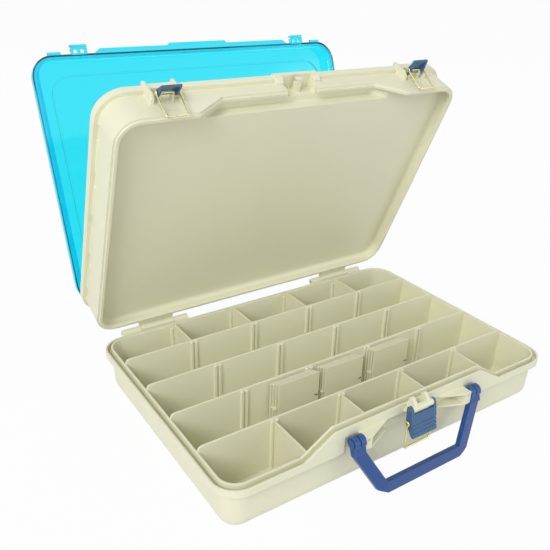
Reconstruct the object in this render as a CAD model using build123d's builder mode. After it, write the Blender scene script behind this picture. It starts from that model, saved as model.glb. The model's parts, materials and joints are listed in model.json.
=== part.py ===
from build123d import *
import os
from math import acos, asin, atan2, cos, degrees, hypot, radians, sin

os.makedirs("parts", exist_ok=True)

# Frame: +X to the right seen from the front, +Y to the back, +Z up.
# The origin is the centre of the tray's underside. Sizes are in millimetres.
# Each piece is modelled with the case shut and is then swung to its place in the open case.

# Outline of the tray's outer lip, which the middle lid's rim repeats
case_length = 442.0
case_depth = 302.0
lip_corner = 27.0

# Tray shell
tray_wall = 2.2
lip_height = 56.5
lip_thickness = 2.0
skirt_drop = 8.5
tongue_inset = 6.3
tongue_rise = 2.0
groove_depth = 6.5
tray_draft = 2.2
floor_radius = 16.0

# Raised centre of the tray's front rim
front_rise = 21.4
rise_top = 100.0
rise_foot = 135.0
raised_skirt_drop = 10.9
recess_half = 89.0

# Long walls and divider slots, shared by the tray and the middle lid
row_pitch = 58.2
row_shift = 1.6
row_count = 4
row_wall = 2.0
row_wall_height = 63.7
row_wall_corner = 5.0
column_pitch = 85.0
column_count = 4
rib_width = 3.0
rib_depth = 2.4
slot_gap = 2.6
rib_step = 2.0
end_rib_step = 2.5

# Dividers
divider_thickness = 2.0
divider_height = 58.4
divider_end_gap = 0.5
divider_floor_gap = 0.3
spare_length = 55.0
spare_thickness = 1.6
spare_pitch = 2.4
spare_tab = 4.0
spare_stagger = 2.0
spare_count = 4
spare_centres = {"left": -66.0, "middle": -2.0, "right": 70.5}

# Middle lid shell
lid_gap = 0.3
lid_depth = 44.9
lid_wall = 2.4
panel_height = 70.0
panel_thickness = 2.2
lid_row_drop = 2.9
under_radius = 6.0
upper_radius = 4.0
step_gap = 2.3
step_reach = 15.0

# Middle lid flange
flange_over = 4.5
flange_over_back = 1.0
flange_plate = 2.0
flange_lip = 1.4
flange_drop = 8.5

# Rib under the middle lid's rim, which drops into the groove of the tray's rim
rim_rib_inset = 2.6
rim_rib_thickness = 3.2
rim_rib_drop = 1.8
rim_rib_rise = 3.2

# Pockets along the middle lid's sides, just under the flange
pocket_length = 17.0
pocket_height = 8.0
pocket_depth = 1.2
pocket_pitch = 57.0
pocket_count = 5

# Top cover
cover_gap = 0.6
cover_height = 13.0
cover_wall = 2.0
cover_back_inset = 0.5
cover_side_over = 1.5
cover_radius = 6.0
ridge_gap = 1.6
ridge_thickness = 1.5
ridge_drop = 2.7
panel_rise = 1.2
panel_border = 22.0

# Lips along the top cover's front, seen in plan
wide_lip_half = 135.0
wide_lip_end = 143.0
wide_lip_reach = 5.5
centre_lip_half = 41.0
centre_lip_reach = 8.4
corner_lip_inner = 184.0
corner_lip_outer = 200.0
corner_lip_reach = 3.2

# Hinges between the tray and the middle lid
hinge_behind = 10.0
hinge_below = 2.5
barrel_radius = 4.2
hinge_pin_radius = 1.6
hinge_inner = 100.0
hinge_outer = 188.0
inner_knuckle = 19.0
outer_knuckle = 24.0
knuckle_gap = 0.4
knuckle_arm = 4.0

# Hinges between the middle lid and the top cover
cover_axis_behind = 1.5
cover_axis_above = 0.5
cover_barrel_radius = 3.2
cover_barrel_room = 0.4
cover_pin_radius = 1.2

# Clearances of pins in the pieces that turn on them and in the pieces that hold them
running = 0.05
seat = 0.02

# Opening angles of the case as it stands in the photograph
lid_open = 67.0
cover_open = 42.4

# Carrying handle
handle_pivot_out = 7.0
handle_pivot_height = 63.0
handle_reach = 65.0
handle_thickness = 8.0
handle_edge = 1.2
handle_slope = 2.2
handle_bevel = 9.0
handle_knuckle_inner = 73.4
handle_knuckle_outer = 86.5
handle_knuckle_radius = 6.6
handle_knuckle_drop = 12.0
handle_arm_slant = 0.54
knuckle_groove = 1.5
knuckle_groove_depth = 1.8
grip_width = 13.0
handle_pin_radius = 2.5
handle_pin_seat = 7.5
handle_head_radius = 4.5
handle_head = 0.9
head_gap = 0.3

# Handle brackets
bracket_tip = 36.0
bracket_end = 72.8
bracket_reach = 12.0
bracket_nose = 8.0
bracket_top = 67.5
bracket_bottom = 53.0
bracket_wall = 2.0
nose_hole = 3.0
nose_hole_depth = 2.0

# Main latch, hung from the tray
main_out = 9.85
main_height = 76.5
main_half = 16.5
main_cheek = 2.6
main_ear_inner = 6.8
main_ear = 3.4
main_drop = 29.5
main_front = 4.5
main_splay = 4.5
main_plate = 2.5
main_barrel = 3.8
main_pin = 1.8
main_rod_out = 0.5
main_rod_drop = 15.5
main_rod = 1.0
main_bail_length = 30.5
main_wire = 1.1
main_lean = 15.0
ear_top_radius = 2.8
ear_top_back = 5.2
ear_top_up = 7.4

# Lid latches, hung from the middle lid
side_centre = 161.0
side_out = 7.4
side_height = 81.5
side_half = 10.6
side_cheek = 2.0
side_ear = 2.6
side_drop = 17.0
side_front = 3.4
side_splay = 1.0
side_plate = 2.0
side_barrel = 2.8
side_pin = 1.3
side_rod_out = 0.0
side_rod_drop = 3.9
side_rod = 0.8
side_bail_length = 28.0
side_wire = 0.9
side_lean = 0.0
side_lever_open = {"left": 44.0, "right": 66.0}
side_bail_in = 16.5
side_recess_half = 9.5
side_recess_low = 63.5
side_recess_high = 79.5
side_recess_depth = 1.2
guard_gap = 3.0
guard_thickness = 3.2
guard_low = 76.0
guard_reach = 9.5
guard_corner = 5.0
hood_reach = 6.0

# Shared by all three latches
ear_gap = 0.3
eye_wall = 1.2
eye_gap = 0.3
eye_over = 0.1
lever_groove_shares = (0.45, 0.62, 0.79)
lever_groove_width = 1.6
lever_groove_depth = 0.8
bail_corner = 2.5

# Catch niche and post for the main latch, and the lugs for the lid latches
niche_half = 20.0
niche_top = 97.0
niche_reach = 10.0
niche_cheek = 9.0
niche_cheek_low = 89.0
niche_cheek_corner = 4.0
niche_hood_reach = 6.5
post_half = 3.4
post_low = 87.8
hook_lip = 2.0
hook_play = 0.3
hook_rise = 3.2
lug_half = 9.8
lug_web = 2.0

# Sizes that follow from those above
half_x = case_length / 2
half_y = case_depth / 2
tongue_x = half_x - tongue_inset
tongue_y = half_y - tongue_inset
tongue_corner = lip_corner - tongue_inset
tongue_top = lip_height + tongue_rise
skirt_low = lip_height - skirt_drop
raised_skirt_low = lip_height + front_rise - raised_skirt_drop
web_low = lip_height - groove_depth - lip_thickness
lid_rim = lip_height + lid_gap
flange_top = lid_rim + lid_depth
flange_low = flange_top - flange_drop
panel_top = panel_height + panel_thickness
lid_row_top = flange_top - lid_row_drop
lid_inner_corner = lip_corner - lid_wall
cover_rim = flange_top + cover_gap
cover_top = cover_rim + cover_height
hinge_y = half_y + hinge_behind
hinge_z = lip_height - hinge_below
cover_axis_y = half_y + cover_axis_behind
cover_axis_z = flange_top + cover_axis_above
row_centres = [row_shift + (i - (row_count - 1) / 2) * row_pitch for i in range(row_count)]
column_centres = [(i - (column_count - 1) / 2) * column_pitch for i in range(column_count)]
knuckle_spans = {
    "inner": (hinge_inner, hinge_inner + inner_knuckle),
    "middle": (hinge_inner + inner_knuckle + knuckle_gap, hinge_outer - outer_knuckle - knuckle_gap),
    "outer": (hinge_outer - outer_knuckle, hinge_outer),
}
sides = {"left": -1, "right": 1}


def swing(y, z, opening):
    """Turn about an axis along X through (y, z); a positive opening lifts the front."""
    return Pos(0, y, z) * Rot(-opening, 0, 0) * Pos(0, -y, -z)


def save(piece, node, pose=Location()):
    """Swing a finished piece from the shut case to its place and write it under its node's name."""
    placed = piece.moved(pose)
    placed.label = node
    export_step(placed, f"parts/{node}.step")


def ramp_outline(height):
    """Points of the raised front centre, seen from the front, with its feet at the given height."""
    return [
        (rise_foot, height),
        (rise_top, height + front_rise),
        (-rise_top, height + front_rise),
        (-rise_foot, height),
    ]


def tray_block(inset, low):
    """The tray's drafted outside taken in by a wall, standing on a floor at the given height."""
    low_inset = inset + tray_draft * (1 - low / tongue_top)
    with BuildPart() as block:
        with BuildSketch(Plane.XY.offset(low)):
            RectangleRounded(
                2 * (tongue_x - low_inset), 2 * (tongue_y - low_inset), tongue_corner - low_inset
            )
        with BuildSketch(Plane.XY.offset(tongue_top)):
            RectangleRounded(2 * (tongue_x - inset), 2 * (tongue_y - inset), tongue_corner - inset)
        loft()
        fillet(block.faces().sort_by(Axis.Z)[0].edges(), floor_radius - inset)
    return block.part


def slot_ribs(low, high):
    """Rib pairs at every column, standing out from both faces of a long wall at y = 0."""
    with BuildPart() as ribs:
        with BuildSketch(Plane.XY.offset(low)):
            with GridLocations(column_pitch, 0, column_count, 1):
                with GridLocations(slot_gap + rib_width, 0, 2, 1):
                    Rectangle(rib_width, row_wall + 2 * rib_depth)
        extrude(amount=high - low)
    return ribs.part


def barrel(span, radius, y, z):
    """A round bar along X over a span, at (y, z)."""
    with BuildPart() as bar:
        with BuildSketch(Plane.YZ.offset(span[0])):
            with Locations((y, z)):
                Circle(radius)
        extrude(amount=span[1] - span[0])
    return bar.part


def mirrored_spans(span):
    """A span on the right and the same span on the left."""
    return [span, (-span[1], -span[0])]


def latch_lever(half, cheek, barrel_radius, pin, rod, rod_out, rod_drop, front, splay, plate, drop):
    """A lever hanging shut from its pivot at the origin: a grooved plate between two cheeks."""
    plate_top = -(barrel_radius + ear_gap + running)
    slant = degrees(atan2(splay, drop + plate_top))
    with BuildPart() as lever:
        with BuildSketch(Plane.YZ):
            Polygon(
                (-front, plate_top),
                (-front - splay, -drop),
                (-front - splay + plate, -drop),
                (-front + plate, plate_top),
                align=None,
            )
        extrude(amount=half, both=True)
        for low in (-half, half - cheek):
            with BuildSketch(Plane.YZ.offset(low)):
                Circle(barrel_radius)
                with Locations((-rod_out, -rod_drop)):
                    Circle(rod + 2 * eye_wall)
                with Locations((-front - splay + plate / 2, -drop + plate / 2)):
                    Rectangle(plate, plate)
                with Locations((-front + plate / 2, plate_top - plate / 2)):
                    Rectangle(plate, plate)
                make_hull()
            extrude(amount=cheek)
        with BuildSketch(Plane.YZ.offset(-half)):
            for share in lever_groove_shares:
                groove_z = plate_top - (drop + plate_top) * share
                with Locations(Pos(-front - splay * share, groove_z) * Rot(0, 0, -slant)):
                    Rectangle(2 * lever_groove_depth, lever_groove_width)
        extrude(amount=2 * half, mode=Mode.SUBTRACT)
        with BuildSketch(Plane.YZ.offset(-half)):
            Circle(pin + seat)
            with Locations((-rod_out, -rod_drop)):
                Circle(rod + running)
        extrude(amount=2 * half, mode=Mode.SUBTRACT)
    return lever.part


def latch_bail(half, rod, wire, length):
    """A wire loop hanging from its rod at the origin, with an eye at the end of each leg."""
    eye_half = wire + eye_over
    leg = half + eye_gap + eye_half
    eye = rod + running + eye_wall
    with BuildPart() as bail:
        with BuildLine():
            FilletPolyline(
                (-leg, 0, -eye + eye_wall / 2),
                (-leg, 0, -length),
                (leg, 0, -length),
                (leg, 0, -eye + eye_wall / 2),
                radius=bail_corner,
            )
        with BuildSketch(Plane(origin=(-leg, 0, -eye + eye_wall / 2), z_dir=(0, 0, -1))):
            Circle(wire)
        sweep()
        for low in (-leg - eye_half, leg - eye_half):
            with BuildSketch(Plane.YZ.offset(low)):
                Circle(eye)
                Circle(rod + running, mode=Mode.SUBTRACT)
            extrude(amount=2 * eye_half)
    return bail.part


def hook(seat_y, seat_z, wire, low, root_y, half):
    """A hook over which a bail's wire drops: a lip in front of the wire and a post behind it."""
    groove = wire + hook_play
    with BuildPart() as post:
        with BuildSketch(Plane.YZ):
            Polygon(
                (root_y, low),
                (root_y, seat_z + hook_rise),
                (seat_y + groove, seat_z + hook_rise),
                (seat_y + groove, seat_z - groove),
                (seat_y - groove, seat_z - groove),
                (seat_y - groove, seat_z + hook_rise),
                (seat_y - groove - hook_lip, seat_z + hook_rise),
                (seat_y - groove - hook_lip, low),
                align=None,
            )
        extrude(amount=half, both=True)
    return post.part


# Places of the latch pivots, and of the bails' wires when they are hooked
main_y = -half_y - main_out
main_seat_y = main_y - main_rod_out + main_bail_length * sin(radians(main_lean))
main_seat_z = main_height - main_rod_drop + main_bail_length * cos(radians(main_lean))
side_y = -half_y - side_out
side_seat_y = side_y - side_rod_out + side_bail_length * sin(radians(side_lean))
side_seat_z = side_height - side_rod_drop + side_bail_length * cos(radians(side_lean))
side_ear_outer = side_half - side_cheek - ear_gap
main_block_half = main_half - main_cheek - ear_gap
handle_y = -half_y - handle_pivot_out

# Long wall of the tray, at y = 0, with its lower corners following the tray's rounded floor
with BuildPart() as tray_row:
    with BuildSketch(Plane.XZ) as row_outline:
        end_top = tongue_x - tray_wall / 2
        end_low = end_top - tray_draft
        Polygon(
            (-end_low, tray_wall / 2),
            (end_low, tray_wall / 2),
            (end_top, lip_height),
            (-end_top, lip_height),
            align=None,
        )
        fillet(row_outline.vertices().group_by(Axis.Y)[0], floor_radius - tray_wall / 2)
        with Locations((0, (web_low + row_wall_height) / 2)):
            Rectangle(2 * (tongue_x - tray_wall), row_wall_height - web_low)
        fillet(row_outline.vertices().group_by(Axis.Y)[-1], row_wall_corner)
    extrude(amount=row_wall / 2, both=True)
    add(slot_ribs(tray_wall / 2, row_wall_height - rib_step))

# One rib of the slots in the tray's front and back walls, at x = 0
with BuildPart() as end_rib:
    with BuildSketch(Plane.YZ) as rib_outline:
        rib_out = tongue_y - tray_wall / 2
        rib_in = tongue_y - tray_wall - rib_depth
        rib_high = lip_height - end_rib_step
        Polygon(
            (-rib_out + tray_draft, tray_wall / 2),
            (rib_out - tray_draft, tray_wall / 2),
            (rib_out, rib_high),
            (-rib_out, rib_high),
            align=None,
        )
        fillet(rib_outline.vertices().group_by(Axis.Y)[0], floor_radius - tray_wall / 2)
        Polygon(
            (-rib_in + tray_draft, tray_wall / 2),
            (rib_in - tray_draft, tray_wall / 2),
            (rib_in, rib_high),
            (-rib_in, rib_high),
            align=None,
            mode=Mode.SUBTRACT,
        )
    extrude(amount=rib_width / 2, both=True)

# Right handle bracket: a hollow wedge with its pin boss at the outer end
with BuildPart() as bracket:
    bracket_root = -tongue_y + tray_wall / 2
    bracket_front = -half_y - bracket_reach
    with BuildSketch(Plane.XY.offset(bracket_bottom)):
        Polygon(
            (bracket_tip, bracket_root),
            (bracket_tip, -half_y),
            (bracket_end - bracket_nose, bracket_front),
            (bracket_end, bracket_front),
            (bracket_end, bracket_root),
            align=None,
        )
    extrude(amount=bracket_top - bracket_bottom)
    with BuildSketch(Plane.XY.offset(bracket_bottom + bracket_wall)):
        hollow_back = -tongue_y - bracket_wall / 2
        Polygon(
            (bracket_tip - 1, hollow_back),
            (bracket_tip - 1, bracket_front - 1),
            (bracket_end - bracket_nose, bracket_front - 1),
            (bracket_end - bracket_nose, hollow_back),
            align=None,
        )
    extrude(amount=bracket_top - bracket_bottom - 2 * bracket_wall, mode=Mode.SUBTRACT)
    boss_radius = bracket_top - handle_pivot_height
    add(barrel((bracket_end - handle_pin_seat, bracket_end), boss_radius, handle_y, handle_pivot_height))
    pin_hole = barrel(
        (bracket_end - handle_pin_seat, bracket_end), handle_pin_radius + seat, handle_y, handle_pivot_height
    )
    add(pin_hole, mode=Mode.SUBTRACT)
    with BuildSketch(Plane.XZ.offset(-bracket_front - nose_hole_depth)):
        with Locations((bracket_end - bracket_nose / 2, bracket_top - bracket_wall - nose_hole / 2)):
            Rectangle(nose_hole, nose_hole)
    extrude(amount=nose_hole_depth, mode=Mode.SUBTRACT)

# Right main latch ear
with BuildPart() as main_ear_part:
    with BuildSketch(Plane.YZ.offset(main_ear_inner)):
        with Locations((main_y, main_height)):
            Circle(main_barrel)
        with Locations((main_y + ear_top_back, main_height + ear_top_up)):
            Circle(ear_top_radius)
        with Locations((-half_y + lip_thickness / 2, raised_skirt_low + lip_thickness)):
            Rectangle(lip_thickness, lip_thickness)
        make_hull()
    extrude(amount=main_ear)

# Tray
with BuildPart() as base_tray:
    add(tray_block(0, 0))
    add(tray_block(tray_wall, tray_wall), mode=Mode.SUBTRACT)
    with BuildSketch(Plane.XZ.offset(tongue_y - tray_wall)):
        Polygon(*ramp_outline(tongue_top), align=None)
    extrude(amount=tray_wall)
    with Locations(*[(0, y, 0) for y in row_centres]):
        add(tray_row.part)
    with Locations(*[(x + s * (slot_gap + rib_width) / 2, 0, 0) for x in column_centres for s in (-1, 1)]):
        add(end_rib.part)
    # Outer lip with its hanging skirt
    with BuildSketch(Plane.XY.offset(skirt_low)):
        RectangleRounded(case_length, case_depth, lip_corner)
        offset(amount=-lip_thickness, mode=Mode.SUBTRACT)
    extrude(amount=skirt_drop)
    with BuildSketch(Plane.XZ.offset(half_y - lip_thickness)):
        Polygon(*ramp_outline(lip_height), align=None)
    extrude(amount=lip_thickness)
    with BuildSketch(Plane.XZ.offset(half_y - lip_thickness)):
        with Locations((0, (skirt_low + raised_skirt_low) / 2)):
            Rectangle(2 * recess_half, raised_skirt_low - skirt_low)
    extrude(amount=lip_thickness, mode=Mode.SUBTRACT)
    # Web that joins the lip to the wall and is the floor of the groove between them
    with BuildSketch(Plane.XY.offset(web_low)):
        RectangleRounded(
            case_length - lip_thickness, case_depth - lip_thickness, lip_corner - lip_thickness / 2
        )
        RectangleRounded(
            2 * tongue_x - tray_wall,
            2 * tongue_y - tray_wall,
            tongue_corner - tray_wall / 2,
            mode=Mode.SUBTRACT,
        )
        with Locations((0, -half_y)):
            Rectangle(2 * rise_foot, 2 * (half_y - tongue_y), mode=Mode.SUBTRACT)
    extrude(amount=lip_thickness)
    with BuildSketch(Plane.XZ.offset(tongue_y - tray_wall / 2)):
        Polygon(*ramp_outline(web_low + lip_thickness), *ramp_outline(web_low)[::-1], align=None)
    extrude(amount=half_y - tongue_y + tray_wall / 2 - lip_thickness / 2)
    for side in sides.values():
        with BuildSketch(Plane.XY.offset(skirt_low)):
            with Locations((side * (recess_half + lip_thickness / 2), -(half_y + tongue_y - lip_thickness) / 2)):
                Rectangle(lip_thickness, half_y - tongue_y + tray_wall)
        extrude(amount=web_low + front_rise - skirt_low)
    # Handle brackets, and the main latch's knuckle with its two ears and the pin's hole
    add(bracket.part)
    add(mirror(bracket.part, about=Plane.YZ, mode=Mode.PRIVATE))
    add(main_ear_part.part)
    add(mirror(main_ear_part.part, about=Plane.YZ, mode=Mode.PRIVATE))
    with BuildSketch(Plane.YZ):
        with Locations((main_y, main_height)):
            Circle(main_barrel)
        with Locations((-half_y + lip_thickness / 2, raised_skirt_low + lip_thickness)):
            Rectangle(lip_thickness, lip_thickness)
        make_hull()
    extrude(amount=main_block_half, both=True)
    pin_span = (-main_block_half, main_block_half)
    add(barrel(pin_span, main_pin + seat, main_y, main_height), mode=Mode.SUBTRACT)
    # Hinge knuckles with the arms that carry them
    for name in ("inner", "outer"):
        for low, high in mirrored_spans(knuckle_spans[name]):
            add(barrel((low, high), barrel_radius, hinge_y, hinge_z))
            with BuildSketch(Plane.YZ.offset(low)):
                with Locations(((half_y - lip_thickness / 2 + hinge_y) / 2, hinge_z - knuckle_arm / 2)):
                    Rectangle(hinge_y - half_y + lip_thickness / 2, knuckle_arm)
            extrude(amount=high - low)
            add(barrel((low, high), hinge_pin_radius + seat, hinge_y, hinge_z), mode=Mode.SUBTRACT)

# Middle lid: cavity over the tray, with a softened ceiling edge
with BuildPart() as under_cavity:
    with BuildSketch(Plane.XY.offset(lid_rim)):
        RectangleRounded(case_length - 2 * lid_wall, case_depth - 2 * lid_wall, lid_inner_corner)
    extrude(amount=panel_height - lid_rim)
    fillet(under_cavity.faces().sort_by(Axis.Z)[-1].edges(), under_radius)

# Middle lid: compartment space above the panel
with BuildPart() as upper_cavity:
    with BuildSketch(Plane.XY.offset(panel_top)):
        RectangleRounded(case_length - 2 * lid_wall, case_depth - 2 * lid_wall, lid_inner_corner)
    extrude(amount=flange_top - panel_top)
    fillet(upper_cavity.faces().sort_by(Axis.Z)[0].edges(), upper_radius)

# Middle lid: a long wall at y = 0
with BuildPart() as lid_row:
    with BuildSketch(Plane.XZ):
        with Locations((0, (panel_top - panel_thickness / 2 + lid_row_top) / 2)):
            Rectangle(case_length - lid_wall, lid_row_top - panel_top + panel_thickness / 2)
    extrude(amount=row_wall / 2, both=True)
    add(slot_ribs(panel_top - panel_thickness / 2, lid_row_top))

# Right lid latch: its two ears and the guards that flank it, all at x = 0
with BuildPart() as side_ears:
    for side in sides.values():
        ear_low = side * (side_ear_outer - side_ear / 2) - side_ear / 2
        with BuildSketch(Plane.YZ.offset(ear_low)):
            with Locations((side_y, side_height)):
                Circle(side_barrel)
            with Locations((-half_y + lid_wall / 2, side_height)):
                Rectangle(lid_wall, 2 * side_barrel)
            make_hull()
            with Locations((side_y, side_height)):
                Circle(side_pin + seat, mode=Mode.SUBTRACT)
        extrude(amount=side_ear)
        guard_centre = side_half + guard_gap + guard_thickness / 2
        with BuildSketch(Plane.YZ.offset(side * guard_centre - guard_thickness / 2)) as guard:
            Polygon(
                (-half_y + lid_wall / 2, guard_low),
                (-half_y + lid_wall / 2, flange_top),
                (-half_y - guard_reach, flange_top),
                (-half_y - guard_reach, guard_low + guard_corner),
                (-half_y - guard_reach / 2, guard_low),
                align=None,
            )
        extrude(amount=guard_thickness)
    with BuildSketch(Plane.XY.offset(flange_low)):
        with Locations((0, -half_y + (lid_wall / 2 - hood_reach) / 2)):
            Rectangle(2 * (side_half + guard_gap) + guard_thickness, hood_reach + lid_wall / 2)
    extrude(amount=flange_drop)

# Middle lid
with BuildPart() as mid_lid:
    with BuildSketch(Plane.XY.offset(lid_rim)):
        RectangleRounded(case_length, case_depth, lip_corner)
    extrude(amount=lid_depth)
    add(upper_cavity.part, mode=Mode.SUBTRACT)
    # Housing of the step that clears the tray's raised rim
    with BuildSketch(Plane.XZ.offset(tongue_y - step_reach + step_gap)):
        Polygon(*ramp_outline(tongue_top + step_gap + panel_thickness), align=None)
    extrude(amount=half_y - lid_wall / 2 - tongue_y + step_reach - step_gap)
    # Housing of the catch niche
    with BuildSketch(Plane.XY.offset(panel_height)):
        with Locations((0, -half_y + (niche_reach + panel_thickness) / 2)):
            Rectangle(2 * (niche_half + panel_thickness), niche_reach + panel_thickness)
    extrude(amount=niche_top + panel_thickness - panel_height)
    # Flange: a plate with an upright lip, and cheeks and a hood at the catch niche
    flange_shift = (flange_over_back - flange_over) / 2
    flange_depth = case_depth + flange_over + flange_over_back
    with BuildSketch(Plane.XY.offset(flange_low)):
        with Locations((0, flange_shift)):
            RectangleRounded(case_length + 2 * flange_over, flange_depth, lip_corner + flange_over)
        RectangleRounded(
            case_length - lid_wall, case_depth - lid_wall, lip_corner - lid_wall / 2, mode=Mode.SUBTRACT
        )
    extrude(amount=flange_drop)
    with BuildSketch(Plane.XY.offset(flange_low + flange_plate)):
        with Locations((0, flange_shift)):
            RectangleRounded(
                case_length + 2 * (flange_over - flange_lip),
                flange_depth - 2 * flange_lip,
                lip_corner + flange_over - flange_lip,
            )
        RectangleRounded(case_length, case_depth, lip_corner, mode=Mode.SUBTRACT)
    extrude(amount=flange_drop - flange_plate, mode=Mode.SUBTRACT)
    for side in sides.values():
        cheek_centre = side * (niche_half + niche_cheek / 2)
        with BuildSketch(Plane.YZ.offset(cheek_centre - niche_cheek / 2)):
            Polygon(
                (-half_y + lid_wall / 2, niche_cheek_low),
                (-half_y + lid_wall / 2, flange_top),
                (-half_y - niche_hood_reach, flange_top),
                (-half_y - niche_hood_reach, niche_cheek_low + niche_cheek_corner),
                (-half_y - niche_hood_reach + niche_cheek_corner, niche_cheek_low),
                align=None,
            )
        extrude(amount=niche_cheek)
    with BuildSketch(Plane.XY.offset(niche_top)):
        with Locations((0, -half_y + (lid_wall / 2 - niche_hood_reach) / 2)):
            Rectangle(2 * niche_half + niche_cheek, niche_hood_reach + lid_wall / 2)
    extrude(amount=flange_top - niche_top)
    # Long walls
    with Locations(*[(0, y, 0) for y in row_centres]):
        add(lid_row.part)
    # Spaces under the lid: over the tray, the step, the front notch and the niche
    add(under_cavity.part, mode=Mode.SUBTRACT)
    with BuildSketch(Plane.XZ.offset(tongue_y - step_reach + step_gap + panel_thickness)):
        Polygon(*ramp_outline(tongue_top + step_gap), align=None)
    extrude(
        amount=half_y - lid_wall - tongue_y + step_reach - step_gap - panel_thickness, mode=Mode.SUBTRACT
    )
    with BuildSketch(Plane.XZ.offset(half_y - lid_wall)):
        Polygon(*ramp_outline(lid_rim), align=None)
    extrude(amount=lid_wall, mode=Mode.SUBTRACT)
    # Rib under the rim, stepped up over the tray's raised front
    rib_low = lid_rim - rim_rib_drop
    rib_inner = rim_rib_inset + rim_rib_thickness
    for low, inset in ((rib_low, rim_rib_inset), (lid_rim, lid_wall / 2)):
        with BuildSketch(Plane.XY.offset(low)):
            RectangleRounded(case_length - 2 * inset, case_depth - 2 * inset, lip_corner - inset)
            RectangleRounded(
                case_length - 2 * rib_inner, case_depth - 2 * rib_inner, lip_corner - rib_inner, mode=Mode.SUBTRACT
            )
            with Locations((0, -half_y)):
                Rectangle(2 * rise_foot, 4 * rib_inner, mode=Mode.SUBTRACT)
        extrude(amount=lid_rim + rim_rib_rise - low)
        with BuildSketch(Plane.XZ.offset(half_y - rib_inner)):
            Polygon(*ramp_outline(lid_rim + rim_rib_rise), *ramp_outline(low)[::-1], align=None)
        extrude(amount=rib_inner - inset)
    with BuildSketch(Plane.XY.offset(rib_low)):
        with Locations((0, -half_y + (niche_reach - niche_hood_reach) / 2)):
            Rectangle(2 * niche_half, niche_reach + niche_hood_reach)
    extrude(amount=niche_top - rib_low, mode=Mode.SUBTRACT)
    # Recesses under the lid latches
    with BuildSketch(Plane.XZ.offset(half_y - side_recess_depth)):
        with Locations((0, (side_recess_low + side_recess_high) / 2)):
            with GridLocations(2 * side_centre, 0, 2, 1):
                Rectangle(2 * side_recess_half, side_recess_high - side_recess_low)
    extrude(amount=side_recess_depth, mode=Mode.SUBTRACT)
    # Pockets along both sides
    with BuildSketch(Plane.XY.offset(flange_low - pocket_height)):
        with GridLocations(case_length, pocket_pitch, 2, pocket_count):
            Rectangle(2 * pocket_depth, pocket_length)
    extrude(amount=pocket_height, mode=Mode.SUBTRACT)
    # Catch post, latch ears and guards
    add(hook(main_seat_y, main_seat_z, main_wire, post_low, -half_y + niche_reach + lid_wall / 2, post_half))
    with Locations((side_centre, 0, 0), (-side_centre, 0, 0)):
        add(side_ears.part)
    # Hinge knuckles to the tray
    for low, high in mirrored_spans(knuckle_spans["middle"]):
        arm_low = lip_height + 2 * lid_gap
        with BuildSketch(Plane.YZ.offset(low)):
            Polygon(
                (half_y - lid_wall / 2, arm_low),
                (hinge_y, arm_low),
                (hinge_y + barrel_radius / 2, arm_low),
                (hinge_y, arm_low + knuckle_arm),
                (half_y - lid_wall / 2, arm_low + 2 * knuckle_arm),
                align=None,
            )
            with Locations((hinge_y, hinge_z)):
                Circle(barrel_radius)
        extrude(amount=high - low)
        add(barrel((low, high), hinge_pin_radius + running, hinge_y, hinge_z), mode=Mode.SUBTRACT)
    # Hinge knuckles to the top cover, and room for the cover's own knuckles between them
    for name in ("inner", "outer"):
        for span in mirrored_spans(knuckle_spans[name]):
            add(barrel(span, cover_barrel_radius, cover_axis_y, cover_axis_z))
            add(barrel(span, cover_pin_radius + seat, cover_axis_y, cover_axis_z), mode=Mode.SUBTRACT)
    for low, high in mirrored_spans(knuckle_spans["middle"]):
        room = (low - knuckle_gap, high + knuckle_gap)
        add(
            barrel(room, cover_barrel_radius + cover_barrel_room, cover_axis_y, cover_axis_z),
            mode=Mode.SUBTRACT,
        )

# Top cover
cover_half_x = half_x + cover_side_over
cover_half_y = half_y - cover_back_inset
cover_corner = lip_corner
ridge_x = half_x - lid_wall - ridge_gap
ridge_y = half_y - lid_wall - ridge_gap
ridge_corner = lid_inner_corner - ridge_gap
with BuildPart() as cover_cavity:
    with BuildSketch(Plane.XY.offset(cover_rim)):
        RectangleRounded(
            2 * (cover_half_x - cover_wall), 2 * (cover_half_y - cover_wall), cover_corner - cover_wall
        )
    extrude(amount=cover_height - cover_wall)
    fillet(cover_cavity.faces().sort_by(Axis.Z)[-1].edges(), cover_radius - cover_wall)

# Half of the front lip outline, from the middle to the right corner
lip_plan = [
    (0, -cover_half_y - centre_lip_reach),
    (centre_lip_half, -cover_half_y - centre_lip_reach),
    (centre_lip_half + centre_lip_reach - wide_lip_reach, -cover_half_y - wide_lip_reach),
    (wide_lip_half, -cover_half_y - wide_lip_reach),
    (wide_lip_end, -cover_half_y),
    (wide_lip_end, -ridge_y),
    (0, -ridge_y),
]

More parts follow.
